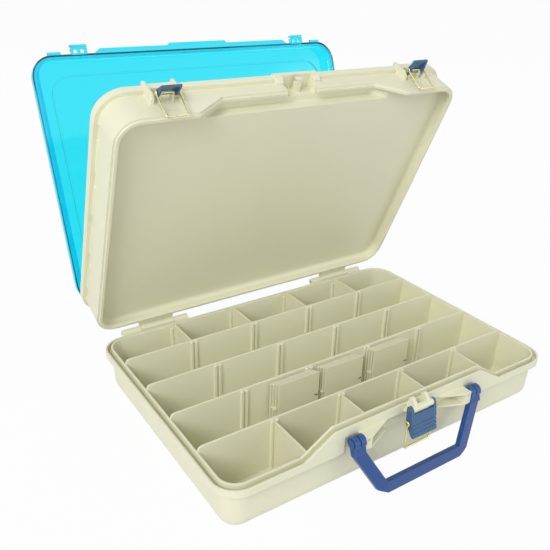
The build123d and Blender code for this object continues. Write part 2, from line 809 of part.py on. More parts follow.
with BuildPart() as top_cover:
    with BuildSketch(Plane.XY.offset(cover_rim)):
        RectangleRounded(2 * cover_half_x, 2 * cover_half_y, cover_corner)
    extrude(amount=cover_height)
    fillet(top_cover.faces().sort_by(Axis.Z)[-1].edges(), cover_radius)
    # Raised panel
    with BuildSketch(Plane.XY.offset(cover_top - cover_wall)):
        RectangleRounded(
            2 * (cover_half_x - panel_border), 2 * (cover_half_y - panel_border), cover_corner - cover_wall
        )
    extrude(amount=cover_wall + panel_rise)
    add(cover_cavity.part, mode=Mode.SUBTRACT)
    with BuildSketch(Plane.XY.offset(cover_top - 2 * cover_wall)):
        RectangleRounded(
            2 * (cover_half_x - panel_border - cover_wall),
            2 * (cover_half_y - panel_border - cover_wall),
            cover_corner - 2 * cover_wall,
        )
    extrude(amount=cover_wall + panel_rise, mode=Mode.SUBTRACT)
    # Rim plate and the ridge that drops inside the middle lid
    with BuildSketch(Plane.XY.offset(cover_rim)):
        RectangleRounded(
            2 * cover_half_x - cover_wall, 2 * cover_half_y - cover_wall, cover_corner - cover_wall / 2
        )
        RectangleRounded(
            2 * (ridge_x - ridge_thickness),
            2 * (ridge_y - ridge_thickness),
            ridge_corner - ridge_thickness,
            mode=Mode.SUBTRACT,
        )
    extrude(amount=cover_wall)
    with BuildSketch(Plane.XY.offset(cover_rim - ridge_drop)):
        RectangleRounded(2 * ridge_x, 2 * ridge_y, ridge_corner)
        RectangleRounded(
            2 * (ridge_x - ridge_thickness),
            2 * (ridge_y - ridge_thickness),
            ridge_corner - ridge_thickness,
            mode=Mode.SUBTRACT,
        )
    extrude(amount=ridge_drop)
    # Front lips
    with BuildSketch(Plane.XY.offset(cover_rim)):
        Polygon(*lip_plan, align=None)
        Polygon(*[(-x, y) for x, y in lip_plan[::-1]], align=None)
        for side in sides.values():
            with Locations((side * (corner_lip_inner + corner_lip_outer) / 2, -cover_half_y)):
                Rectangle(corner_lip_outer - corner_lip_inner, 2 * corner_lip_reach)
    extrude(amount=cover_wall)
    # Latch lugs: a hooked plate on two webs
    for side in sides.values():
        lug = hook(side_seat_y, side_seat_z, side_wire, cover_rim, -cover_half_y + cover_wall / 2, lug_half)
        with Locations((side * side_centre, 0, 0)):
            add(lug)
        with BuildSketch(Plane.XY.offset(cover_rim)):
            with Locations((side * side_centre, (side_seat_y + side_wire + hook_play - cover_half_y) / 2)):
                with GridLocations(lug_half - lug_web / 2, 0, 2, 1):
                    Rectangle(lug_half - 2 * lug_web, side_seat_y * -1 - cover_half_y - side_wire - hook_play - lug_web)
        extrude(amount=cover_height / 2, mode=Mode.SUBTRACT)
    # Hinge knuckles, and room for the middle lid's knuckles beside them
    for name in ("inner", "outer"):
        for low, high in mirrored_spans(knuckle_spans[name]):
            room = (low - knuckle_gap, high + knuckle_gap)
            add(
                barrel(room, cover_barrel_radius + cover_barrel_room, cover_axis_y, cover_axis_z),
                mode=Mode.SUBTRACT,
            )
    for span in mirrored_spans(knuckle_spans["middle"]):
        add(barrel(span, cover_barrel_radius, cover_axis_y, cover_axis_z))
        add(barrel(span, cover_pin_radius + running, cover_axis_y, cover_axis_z), mode=Mode.SUBTRACT)

# Carrying handle, drawn flat: x across, y up towards its pivot at the origin
grip_centre = handle_reach - grip_width / 2
grip_half = handle_knuckle_outer - handle_arm_slant * grip_centre
arm_start = handle_knuckle_radius
arm_top = handle_knuckle_outer - handle_arm_slant * arm_start
corner_x = grip_half + (hypot(1, handle_arm_slant) - handle_arm_slant) * grip_width / 2
slant_length = hypot(1, handle_arm_slant)
with BuildPart() as carry_handle:
    with BuildLine() as handle_path:
        Polyline(
            (-arm_top, -arm_start), (-grip_half, -grip_centre), (grip_half, -grip_centre), (arm_top, -arm_start)
        )
    with BuildSketch(Plane(origin=handle_path.line @ 0, x_dir=(0, 0, 1), z_dir=handle_path.line % 0)) as section:
        Polygon(
            (-handle_thickness / 2, -grip_width / 2),
            (handle_thickness / 2, -grip_width / 2),
            (handle_thickness / 2 - handle_slope, grip_width / 2),
            (-handle_thickness / 2, grip_width / 2),
            align=None,
        )
        fillet(section.vertices(), handle_edge)
    sweep(transition=Transition.RIGHT)
    # Bevelled outer corners, and arms trimmed to the knuckles' outer ends
    for side in sides.values():
        with BuildSketch():
            bevel = [
                (corner_x - handle_bevel, -handle_reach),
                (corner_x + handle_bevel, -handle_reach - handle_bevel),
                (
                    corner_x + handle_bevel * handle_arm_slant / slant_length,
                    -handle_reach + handle_bevel / slant_length,
                ),
            ]
            Polygon(*[(side * x, y) for x, y in bevel][::side], align=None)
            with Locations((side * (handle_knuckle_outer + grip_width / 2), -handle_knuckle_radius)):
                Rectangle(grip_width, 4 * handle_knuckle_radius)
        extrude(amount=handle_thickness, both=True, mode=Mode.SUBTRACT)
    knuckle_centre = (handle_knuckle_inner + handle_knuckle_outer) / 2
    for span in mirrored_spans((handle_knuckle_inner, handle_knuckle_outer)):
        add(barrel(span, handle_knuckle_radius, 0, 0))
    for span in mirrored_spans((knuckle_centre - knuckle_groove / 2, knuckle_centre + knuckle_groove / 2)):
        groove = barrel(span, handle_knuckle_radius, 0, 0)
        groove -= barrel(span, handle_knuckle_radius - knuckle_groove_depth, 0, 0)
        add(groove, mode=Mode.SUBTRACT)
    with BuildSketch():
        with Locations((0, -handle_knuckle_drop / 2)):
            with GridLocations(2 * knuckle_centre, 0, 2, 1):
                Rectangle(handle_knuckle_outer - handle_knuckle_inner, handle_knuckle_drop)
    extrude(amount=handle_thickness / 2, both=True)
    for span in mirrored_spans((handle_knuckle_inner, handle_knuckle_outer)):
        add(barrel(span, handle_pin_radius + running, 0, 0), mode=Mode.SUBTRACT)

# The handle leans out from its pivot until the rounded edge of its grip meets the table
edge_reach = handle_reach - handle_edge
edge_half = handle_thickness / 2 - handle_edge
handle_lean = degrees(
    atan2(edge_half, edge_reach)
    + acos((handle_pivot_height - handle_edge) / hypot(edge_half, edge_reach))
)
handle_pose = Pos(0, handle_y, handle_pivot_height) * Rot(90 - handle_lean, 0, 0)

# Handle pin, along X from its seat in the bracket to its head outside the knuckle
with BuildPart() as handle_pin:
    add(
        barrel(
            (bracket_end - handle_pin_seat, handle_knuckle_outer + head_gap + handle_head),
            handle_pin_radius,
            handle_y,
            handle_pivot_height,
        )
    )
    add(
        barrel(
            (handle_knuckle_outer + head_gap, handle_knuckle_outer + head_gap + handle_head),
            handle_head_radius,
            handle_y,
            handle_pivot_height,
        )
    )


def divider(inner_y, outer_y):
    """A divider between a long wall's face and the tray's drafted end wall, at x = 0."""
    direction = 1 if outer_y > 0 else -1
    low = tray_wall + divider_floor_gap
    wall_top = outer_y - direction * tray_wall
    wall_low = wall_top - direction * tray_draft
    with BuildPart() as plate:
        with BuildSketch(Plane.YZ) as outline:
            inner = inner_y + direction * divider_end_gap
            outer_low = wall_low - direction * divider_end_gap
            outer_high = wall_top - direction * divider_end_gap
            corners = [(inner, low), (outer_low, low), (outer_high, low + divider_height)]
            corners.append((inner, low + divider_height))
            Polygon(*corners[::direction], align=None)
            floor_corner = outline.vertices().sort_by_distance((outer_low, low, 0))[0]
            fillet(floor_corner, floor_radius - tray_wall)
        extrude(amount=divider_thickness / 2, both=True)
    return plate.part


# Spare dividers, standing against the slot ribs of the second long wall, each set joined by two tabs
spare_high = tray_wall + divider_floor_gap + divider_height
spare_y = row_centres[1] - row_wall / 2 - rib_depth - divider_end_gap - spare_thickness / 2
spare_stacks = {}
for name, centre in spare_centres.items():
    with BuildPart() as stack:
        for i in range(spare_count):
            shift = centre + (i - (spare_count - 1) / 2) * spare_stagger
            with BuildSketch(Plane.XZ.offset(-spare_y + i * spare_pitch - spare_thickness / 2)) as spare:
                with Locations((shift, (tray_wall + divider_floor_gap + spare_high) / 2)):
                    Rectangle(spare_length, divider_height)
                fillet(spare.vertices().group_by(Axis.Y)[0].sort_by(Axis.X)[-1], floor_radius - tray_wall)
            extrude(amount=spare_thickness)
        with BuildSketch(Plane.XZ.offset(-spare_y)):
            with Locations((centre, spare_high / 2)):
                with GridLocations(spare_length / 2, 0, 2, 1):
                    Rectangle(spare_tab, spare_thickness)
        extrude(amount=(spare_count - 1) * spare_pitch)
    spare_stacks[name] = stack.part

main_lever = latch_lever(
    main_half,
    main_cheek,
    main_barrel,
    main_pin,
    main_rod,
    main_rod_out,
    main_rod_drop,
    main_front,
    main_splay,
    main_plate,
    main_drop,
)
side_lever = latch_lever(
    side_half,
    side_cheek,
    side_barrel,
    side_pin,
    side_rod,
    side_rod_out,
    side_rod_drop,
    side_front,
    side_splay,
    side_plate,
    side_drop,
)
main_bail = latch_bail(main_half, main_rod, main_wire, main_bail_length)
side_bail = latch_bail(side_half, side_rod, side_wire, side_bail_length)
main_rod_half = main_half + 2 * (eye_gap + main_wire + eye_over)
side_rod_half = side_half + 2 * (eye_gap + side_wire + eye_over)

# The open case
lid_pose = swing(hinge_y, hinge_z, lid_open)
cover_pose = lid_pose * swing(cover_axis_y, cover_axis_z, cover_open)
main_pivot = Pos(0, main_y, main_height)
main_rod_place = main_pivot * Pos(0, -main_rod_out, -main_rod_drop)

save(base_tray.part, "base_tray")
save(mid_lid.part, "mid_lid", lid_pose)
save(top_cover.part, "top_cover", cover_pose)
save(carry_handle.part, "carry_handle", handle_pose)
save(main_lever, "main_latch_lever", main_pivot)
save(main_bail, "main_latch_bail", main_rod_place)
save(barrel((-main_half, main_half), main_pin, 0, 0), "main_latch_pin", main_pivot)
save(barrel((-main_rod_half, main_rod_half), main_rod, 0, 0), "main_bail_rod", main_rod_place)

for name, side in sides.items():
    side_pivot = lid_pose * Pos(side * side_centre, side_y, side_height)
    opening = side_lever_open[name]
    lever_place = side_pivot * Rot(-opening, 0, 0)
    rod_place = lever_place * Pos(0, -side_rod_out, -side_rod_drop)
    bail_place = rod_place * Rot(opening + side_bail_in, 0, 0)
    save(side_lever, f"lid_latch_lever_{name}", lever_place)
    save(side_bail, f"lid_latch_bail_{name}", bail_place)
    save(barrel((-side_half, side_half), side_pin, 0, 0), f"lid_latch_pin_{name}", side_pivot)
    save(barrel((-side_rod_half, side_rod_half), side_rod, 0, 0), f"lid_bail_rod_{name}", rod_place)
    strip = sorted((side * hinge_inner, side * hinge_outer))
    save(barrel(strip, hinge_pin_radius, hinge_y, hinge_z), f"base_hinge_pin_{name}")
    save(barrel(strip, cover_pin_radius, cover_axis_y, cover_axis_z), f"cover_hinge_pin_{name}", lid_pose)
    pin = handle_pin.part if side > 0 else mirror(handle_pin.part, about=Plane.YZ)
    save(pin, f"handle_pin_{name}")

front_divider = divider(row_centres[0] - row_wall / 2, -tongue_y)
back_divider = divider(row_centres[-1] + row_wall / 2, tongue_y)
for number, x in enumerate(column_centres, start=1):
    save(front_divider, f"divider_front_{number}", Pos(x, 0, 0))
    save(back_divider, f"divider_back_{number}", Pos(x, 0, 0))
for name, stack_part in spare_stacks.items():
    save(stack_part, f"spare_dividers_{name}")
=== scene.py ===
# %% [markdown]
# # A tackle box in Blender
#
# The box is dressed around its imported CAD model. Everything is in metres, in the model's own frame:
# the origin is the centre of the tray's underside, +X is right, +Y is back and +Z is up.

# %% Load the frame
import json
import math

import bpy
from mathutils import Matrix, Vector


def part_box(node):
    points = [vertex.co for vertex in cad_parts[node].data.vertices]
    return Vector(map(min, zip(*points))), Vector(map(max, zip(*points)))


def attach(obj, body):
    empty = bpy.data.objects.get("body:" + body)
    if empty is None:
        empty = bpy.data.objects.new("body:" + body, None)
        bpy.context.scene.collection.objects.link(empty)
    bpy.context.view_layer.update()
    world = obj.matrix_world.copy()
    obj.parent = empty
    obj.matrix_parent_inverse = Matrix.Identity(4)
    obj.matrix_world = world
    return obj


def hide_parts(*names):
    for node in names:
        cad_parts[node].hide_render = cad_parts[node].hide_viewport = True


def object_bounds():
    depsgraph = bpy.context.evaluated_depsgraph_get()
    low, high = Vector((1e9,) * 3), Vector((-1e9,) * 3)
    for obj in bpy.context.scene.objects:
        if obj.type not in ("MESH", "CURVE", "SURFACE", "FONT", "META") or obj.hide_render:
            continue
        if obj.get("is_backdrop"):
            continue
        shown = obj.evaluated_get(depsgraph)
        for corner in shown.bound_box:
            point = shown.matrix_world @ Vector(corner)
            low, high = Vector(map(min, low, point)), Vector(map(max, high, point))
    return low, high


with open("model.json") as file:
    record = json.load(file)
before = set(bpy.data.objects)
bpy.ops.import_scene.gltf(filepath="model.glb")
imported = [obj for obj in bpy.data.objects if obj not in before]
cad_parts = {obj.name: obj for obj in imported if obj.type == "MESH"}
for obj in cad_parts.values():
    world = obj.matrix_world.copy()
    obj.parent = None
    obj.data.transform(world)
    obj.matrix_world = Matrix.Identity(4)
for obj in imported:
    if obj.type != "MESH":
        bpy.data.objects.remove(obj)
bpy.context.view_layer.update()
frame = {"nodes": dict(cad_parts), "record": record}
nodes = frame["nodes"]


# %% [markdown]
# ## Colours
#
# Paint charts and photographs give colours as they look on a screen, from 0 to 255. A shader wants
# them linear, so each one is converted once, here.

# %% Screen colours made linear
def linear(red, green, blue):
    """A shader colour from the 0 to 255 values that a screen would show."""
    channels = []
    for value in (red, green, blue):
        share = value / 255
        channels.append(share / 12.92 if share <= 0.04045 else ((share + 0.055) / 1.055) ** 2.4)
    return (*channels, 1.0)


shell_cream = linear(231, 230, 203)
# Painted edge highlight: edges drawn lighter, as where light passes through thin plastic.
shell_painted_edge_highlight = linear(252, 250, 222)
divider_cream = linear(226, 224, 196)
handle_blue = linear(28, 76, 140)
# Painted edge highlight: the handle's edges drawn lighter, as where light passes through.
handle_painted_edge_highlight = linear(70, 120, 184)
lever_blue = linear(56, 96, 138)
# Painted edge highlight: the levers' edges drawn lighter, as where light passes through.
lever_painted_edge_highlight = linear(120, 156, 188)
brass_yellow = linear(236, 228, 164)
pin_grey = linear(150, 150, 140)
cover_cyan = linear(2, 206, 246)
# Painted edge shade: the cover's edges drawn deeper blue, as where light bounces inside.
cover_painted_edge_shade = linear(6, 150, 214)
print("the shells' cream, made linear:", [round(channel, 3) for channel in shell_cream[:3]])


# %% [markdown]
# ## Moulded polypropylene
#
# The shells, dividers, handle and levers are injection moulded. The steel mould leaves a fine satin
# grain, the colour drifts a little where the melt cooled at different rates, and thin edges look
# lighter because light passes through them; that light is painted into the colour as a painted edge
# highlight. A painted image could hold all of this, but noise on the piece's own coordinates needs
# no unwrapping and stays put when the piece moves. The edge is found with a Bevel node: where the
# rounded normal leaves the true one, there is an edge.

# %% A mask for edges
bevel_samples = 6
flat_likeness, edge_likeness = 0.995, 0.8


def links_between(tree, *pairs):
    """Join each pair of an output socket and an input socket."""
    for out_socket, in_socket in pairs:
        tree.links.new(out_socket, in_socket)


def edges_of(tree, edge_mm):
    """A normal rounded at the edges, and a mask that is 1 on an edge and 0 on a flat."""
    rounded = tree.nodes.new("ShaderNodeBevel")
    rounded.samples = bevel_samples
    rounded.inputs["Radius"].default_value = edge_mm / 1000
    true_normal = tree.nodes.new("ShaderNodeNewGeometry").outputs["Normal"]
    likeness = tree.nodes.new("ShaderNodeVectorMath")
    likeness.operation = "DOT_PRODUCT"
    mask = tree.nodes.new("ShaderNodeMapRange")
    mask.inputs["From Min"].default_value = flat_likeness
    mask.inputs["From Max"].default_value = edge_likeness
    links_between(
        tree,
        (rounded.outputs["Normal"], likeness.inputs[0]),
        (true_normal, likeness.inputs[1]),
        (likeness.outputs["Value"], mask.inputs["Value"]),
    )
    return rounded.outputs["Normal"], mask.outputs["Result"]


# %% A moulded plastic
drift_scale, drift_detail = 9.0, 3.0
drift_share = 0.035
grain_mm, grain_depth_mm, grain_detail, grain_strength = 0.35, 0.012, 2.0, 0.35
grain_waves = 4
gloss_below, gloss_above = 0.05, 0.07


def moulded(name, colour, painted_edge_colour, roughness, edge_mm):
    """A satin moulded plastic: grain, drift on Object coordinates, and a painted edge highlight."""
    material = bpy.data.materials.new(name)
    material.use_nodes = True
    tree = material.node_tree
    shader = tree.nodes["Principled BSDF"]
    place = tree.nodes.new("ShaderNodeTexCoord").outputs["Object"]

    drift = tree.nodes.new("ShaderNodeTexNoise")
    drift.inputs["Scale"].default_value = drift_scale
    drift.inputs["Detail"].default_value = drift_detail
    drift_range = tree.nodes.new("ShaderNodeMapRange")
    drift_range.inputs["To Min"].default_value = 1 - drift_share
    drift_range.inputs["To Max"].default_value = 1 + drift_share
    drifted = tree.nodes.new("ShaderNodeVectorMath")
    drifted.operation = "SCALE"

    rounded_normal, painted_edge_mask = edges_of(tree, edge_mm)
    # Painted edge highlight: the lighter edge colour is mixed in where the mask finds an edge.
    painted_edge_mix = tree.nodes.new("ShaderNodeMix")
    painted_edge_mix.data_type = "RGBA"
    painted_edge_mix.inputs["B"].default_value = painted_edge_colour
    body_colour = tree.nodes.new("ShaderNodeRGB")
    body_colour.outputs[0].default_value = colour

    grain = tree.nodes.new("ShaderNodeTexNoise")
    grain.inputs["Scale"].default_value = 1000 / grain_mm / grain_waves
    grain.inputs["Detail"].default_value = grain_detail
    bump = tree.nodes.new("ShaderNodeBump")
    bump.inputs["Strength"].default_value = grain_strength
    bump.inputs["Distance"].default_value = grain_depth_mm / 1000
    gloss = tree.nodes.new("ShaderNodeMapRange")
    gloss.inputs["To Min"].default_value = roughness - gloss_below
    gloss.inputs["To Max"].default_value = roughness + gloss_above

    links_between(
        tree,
        (place, drift.inputs["Vector"]),
        (place, grain.inputs["Vector"]),
        (drift.outputs["Fac"], drift_range.inputs["Value"]),
        (body_colour.outputs[0], drifted.inputs[0]),
        (drift_range.outputs["Result"], drifted.inputs["Scale"]),
        (painted_edge_mask, painted_edge_mix.inputs["Factor"]),
        (drifted.outputs[0], painted_edge_mix.inputs["A"]),
        (painted_edge_mix.outputs["Result"], shader.inputs["Base Color"]),
        (grain.outputs["Fac"], bump.inputs["Height"]),
        (rounded_normal, bump.inputs["Normal"]),
        (bump.outputs["Normal"], shader.inputs["Normal"]),
        (drift.outputs["Fac"], gloss.inputs["Value"]),
        (gloss.outputs["Result"], shader.inputs["Roughness"]),
    )
    return material


cream_plastic = moulded("cream polypropylene", shell_cream, shell_painted_edge_highlight, roughness=0.42, edge_mm=0.9)
divider_plastic = moulded(
    "divider polypropylene", divider_cream, shell_painted_edge_highlight, roughness=0.4, edge_mm=0.6
)
handle_plastic = moulded(
    "handle blue polypropylene", handle_blue, handle_painted_edge_highlight, roughness=0.3, edge_mm=0.9
)
lever_plastic = moulded(
    "lever navy polypropylene", lever_blue, lever_painted_edge_highlight, roughness=0.36, edge_mm=0.5
)
print("moulded plastics:", len(bpy.data.materials))


# %% [markdown]
# ## Clear tinted styrene
#
# The cover is clear. Light is tinted where it enters and where it leaves, so each surface gets the
# square root of the wall's colour. An edge, where light bounces inside many times, turns deep blue,
# and that is painted on as a deeper blue painted shade along the edges. A plain see-through mix
# would render faster, but only real refraction shows the ridge.

# %% The cover's plastic
cover_edge_mm = 1.2
cover_ior = 1.46
ripple_scale, ripple_strength, ripple_depth = 14.0, 0.15, 0.0006
haze_least, haze_most = 0.03, 0.12


def clear_tint(name, colour, painted_edge_colour):
    """A clear plastic tinted at each surface, a painted deeper shade on edges, a slight ripple."""
    material = bpy.data.materials.new(name)
    material.use_nodes = True
    tree = material.node_tree
    shader = tree.nodes["Principled BSDF"]
    painted_edge_mask = edges_of(tree, cover_edge_mm)[1]
    # Painted edge shade: a deeper blue is mixed in along the edges found by the mask.
    tint = tree.nodes.new("ShaderNodeMix")
    tint.data_type = "RGBA"
    for end, shade in (("A", colour), ("B", painted_edge_colour)):
        once = [math.sqrt(channel) for channel in shade[:3]]
        tint.inputs[end].default_value = (*once, 1.0)
    shader.inputs["Transmission Weight"].default_value = 1.0
    shader.inputs["IOR"].default_value = cover_ior
    place = tree.nodes.new("ShaderNodeTexCoord").outputs["Object"]
    ripple = tree.nodes.new("ShaderNodeTexNoise")
    ripple.inputs["Scale"].default_value = ripple_scale
    bump = tree.nodes.new("ShaderNodeBump")
    bump.inputs["Strength"].default_value = ripple_strength
    bump.inputs["Distance"].default_value = ripple_depth
    haze = tree.nodes.new("ShaderNodeMapRange")
    haze.inputs["To Min"].default_value = haze_least
    haze.inputs["To Max"].default_value = haze_most
    links_between(
        tree,
        (painted_edge_mask, tint.inputs["Factor"]),
        (tint.outputs["Result"], shader.inputs["Base Color"]),
        (place, ripple.inputs["Vector"]),
        (ripple.outputs["Fac"], bump.inputs["Height"]),
        (bump.outputs["Normal"], shader.inputs["Normal"]),
        (ripple.outputs["Fac"], haze.inputs["Value"]),
        (haze.outputs["Result"], shader.inputs["Roughness"]),
    )
    return material


cover_plastic = clear_tint("clear cyan styrene", cover_cyan, cover_painted_edge_shade)
print("cover:", cover_plastic.name)


# %% [markdown]
# ## Wire and pins
#
# The bails look like brass-plated wire, and the pins are plain drawn wire. Handling leaves such
# wire slightly uneven, which breaks up its highlight. Fine scratches could be modelled, but at this
# size a noise between two shades, in colour and in roughness, gives the same look.

# %% Drawn wire
tarnish_scale, tarnish_share = 260.0, 0.8
polish_below, polish_above = 0.06, 0.1


def drawn_wire(name, colour, roughness):
    """Drawn metal wire, a little darker and rougher where it has tarnished."""
    material = bpy.data.materials.new(name)
    material.use_nodes = True
    tree = material.node_tree
    shader = tree.nodes["Principled BSDF"]
    shader.inputs["Metallic"].default_value = 1.0
    place = tree.nodes.new("ShaderNodeTexCoord").outputs["Object"]
    tarnish = tree.nodes.new("ShaderNodeTexNoise")
    tarnish.inputs["Scale"].default_value = tarnish_scale
    shade = tree.nodes.new("ShaderNodeMix")
    shade.data_type = "RGBA"
    tarnished = [channel * tarnish_share for channel in colour[:3]]
    shade.inputs["A"].default_value = (*tarnished, 1.0)
    shade.inputs["B"].default_value = colour
    rough = tree.nodes.new("ShaderNodeMapRange")
    rough.inputs["To Min"].default_value = roughness - polish_below
    rough.inputs["To Max"].default_value = roughness + polish_above
    links_between(
        tree,
        (place, tarnish.inputs["Vector"]),
        (tarnish.outputs["Fac"], shade.inputs["Factor"]),
        (shade.outputs["Result"], shader.inputs["Base Color"]),
        (tarnish.outputs["Fac"], rough.inputs["Value"]),
        (rough.outputs["Result"], shader.inputs["Roughness"]),
    )
    return material


brass_wire = drawn_wire("brass wire", brass_yellow, roughness=0.24)
steel_wire = drawn_wire("steel wire", pin_grey, roughness=0.32)
print("wires:", brass_wire.name, "and", steel_wire.name)

# %% [markdown]
# ## Dress the CAD nodes
#
# The CAD pieces could be painted one by one. The record already says which slot each node takes its
# finish from, so the slots choose the materials, and pieces of one plastic always match.

# %% Materials by slot
finishes = {
    "shell_beige": cream_plastic,
    "divider_beige": divider_plastic,
    "cover_clear_blue": cover_plastic,
    "handle_blue": handle_plastic,
    "lever_navy": lever_plastic,
    "bail_brass": brass_wire,
    "pin_steel": steel_wire,
}
for entry in frame["record"]["subparts"]:
    piece = nodes[entry["node"]]
    for material_slot in piece.material_slots:
        material_slot.material = finishes[entry["material_slot"]]

# %% [markdown]
# ## Bent wire with Geometry Nodes
#
# Each bail is one piece of wire: an eye wound round its rod, a leg, the bar across, a leg and the
# other eye. It could be modelled by hand as tubes, but one line that is bent and thickened stays
# even at every bend. The tree takes the wire's centre line as a row of vertices, turns it into a
# curve, rounds its bends and runs a round section along it. The bend and the wire are its inputs.

# %% A tree that bends wire
def new_tree(name, inputs):
    """An empty Geometry Nodes tree with a geometry input and output and named numbers."""
    tree = bpy.data.node_groups.new(name, "GeometryNodeTree")
    tree.interface.new_socket("Geometry", in_out="INPUT", socket_type="NodeSocketGeometry")
    for label, value in inputs.items():
        socket = tree.interface.new_socket(label, in_out="INPUT", socket_type="NodeSocketFloat")
        socket.default_value = value
    tree.interface.new_socket("Geometry", in_out="OUTPUT", socket_type="NodeSocketGeometry")
    return tree, tree.nodes.new("NodeGroupInput"), tree.nodes.new("NodeGroupOutput")


def finished(tree, geometry, material, group_output):
    """End a tree as the export needs it: instances made real, then the material."""
    real = tree.nodes.new("GeometryNodeRealizeInstances")
    paint = tree.nodes.new("GeometryNodeSetMaterial")
    paint.inputs["Material"].default_value = material
    links_between(
        tree,
        (geometry, real.inputs[0]),
        (real.outputs[0], paint.inputs["Geometry"]),
        (paint.outputs["Geometry"], group_output.inputs[0]),
    )


bend_points, section_points = 6, 16


def wire_tree(material):
    """A tree that turns a row of vertices into a bent wire."""
    tree, given, result = new_tree("bent wire", {"Wire Radius": 0.001, "Bend Radius": 0.0025})
    to_curve = tree.nodes.new("GeometryNodeMeshToCurve")
    round_bends = tree.nodes.new("GeometryNodeFilletCurve")
    round_bends.mode = "POLY"
    round_bends.inputs["Count"].default_value = bend_points
    round_bends.inputs["Limit Radius"].default_value = True
    section = tree.nodes.new("GeometryNodeCurvePrimitiveCircle")
    section.inputs["Resolution"].default_value = section_points
    run_along = tree.nodes.new("GeometryNodeCurveToMesh")
    run_along.inputs["Fill Caps"].default_value = True
    links_between(
        tree,
        (given.outputs["Geometry"], to_curve.inputs["Mesh"]),
        (to_curve.outputs["Curve"], round_bends.inputs["Curve"]),
        (given.outputs["Bend Radius"], round_bends.inputs["Radius"]),
        (given.outputs["Wire Radius"], section.inputs["Radius"]),
        (round_bends.outputs["Curve"], run_along.inputs["Curve"]),
        (section.outputs["Curve"], run_along.inputs["Profile Curve"]),
    )
    finished(tree, run_along.outputs["Mesh"], material, result)
    return tree


def made_with(tree, name, vertices, edges, faces=(), **values):
    """Run a tree over a small mesh with the given input values and return the plain result."""
    seed_mesh = bpy.data.meshes.new(name + "_seed")
    seed_mesh.from_pydata(vertices, edges, faces)
    seed = bpy.data.objects.new(name + "_seed", seed_mesh)
    bpy.context.scene.collection.objects.link(seed)
    modifier = seed.modifiers.new("tree", "NODES")
    modifier.node_group = tree
    for socket in tree.interface.items_tree:
        if socket.item_type == "SOCKET" and socket.in_out == "INPUT" and socket.name in values:
            modifier[socket.identifier] = values[socket.name]
    ready = seed.evaluated_get(bpy.context.evaluated_depsgraph_get())
    mesh = bpy.data.meshes.new_from_object(ready)
    mesh.name = name
    bpy.data.objects.remove(seed)
    mesh.shade_smooth()
    piece = bpy.data.objects.new(name, mesh)
    bpy.context.scene.collection.objects.link(piece)
    return piece


# %% [markdown]
# The CAD rod gives the eye's place, and the CAD bail's far corner gives the bar across. The wire's
# line is drawn between them: most of a turn round the rod, ending near the leg's own line, and then
# the leg.

# %% The line of a bail
eye_start, eye_turn, eye_steps = 215, 290, 14


def bail_line(rod, bar, leg_x, centre_x, eye_radius):
    """The wire's centre line from one eye, down its leg, across and back up to the other eye."""
    along = (bar - rod).normalized()
    across = Vector((0, along.z, -along.y))
    points = []
    for k in range(eye_steps + 1):
        angle = math.radians(eye_start - eye_turn * k / eye_steps)
        points.append(rod + eye_radius * (math.cos(angle) * across - math.sin(angle) * along))
    half = [Vector((centre_x - leg_x, point.y, point.z)) for point in points]
    half.append(Vector((centre_x - leg_x, bar.y, bar.z)))
    return half + [Vector((2 * centre_x - point.x, point.y, point.z)) for point in half[::-1]]


# %% The three bails
bend_radius, rod_gap, leg_gap = 0.0026, 0.00015, 0.0001
bent_wire = wire_tree(brass_wire)
bails = {
    "main_latch_bail": {"rod": "main_bail_rod", "wire": 0.0011},
    "lid_latch_bail_left": {"rod": "lid_bail_rod_left", "wire": 0.0009},
    "lid_latch_bail_right": {"rod": "lid_bail_rod_right", "wire": 0.0009},
}
for name, sizes in bails.items():
    rod_low, rod_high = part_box(sizes["rod"])
    bail_low, bail_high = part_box(name)
    rod_centre = (rod_low + rod_high) / 2
    wire = sizes["wire"]
    corners = [nodes[name].matrix_world @ vertex.co for vertex in nodes[name].data.vertices]
    far = max(corners, key=lambda point: (point - rod_centre).yz.length)
    far_direction = Vector((0, far.y - rod_centre.y, far.z - rod_centre.z))
    bar = rod_centre + far_direction.normalized() * (far_direction.length - wire)
    leg_x = (bail_high.x - bail_low.x) / 2 - wire - leg_gap
    eye = (rod_high.z - rod_low.z) / 2 + rod_gap + wire
    rod_point = Vector((0, rod_centre.y, rod_centre.z))
    bar_point = Vector((0, bar.y, bar.z))
    line = bail_line(rod_point, bar_point, leg_x, rod_centre.x, eye)
    edges = [(i, i + 1) for i in range(len(line) - 1)]
    given_sizes = {"Wire Radius": wire, "Bend Radius": bend_radius}
    piece = made_with(bent_wire, name + "_wire", line, edges, **given_sizes)
    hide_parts(name)
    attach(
        piece,
        next(
            body for body, held in frame["record"]["behaviour"]["bodies"].items() if name in held
        ),
    )
    print(name, "wire:", len(piece.data.polygons), "faces")

# %% [markdown]
# ## Sets of spare dividers
#
# A set of spare dividers is one plate repeated, so it is made once and copied by rule. The tree
# puts points in a line, copies the plate to each and makes the copies real. A plate's lower corner
# follows the tray's rounded floor, and two short strips at mid height cross the set near its ends.

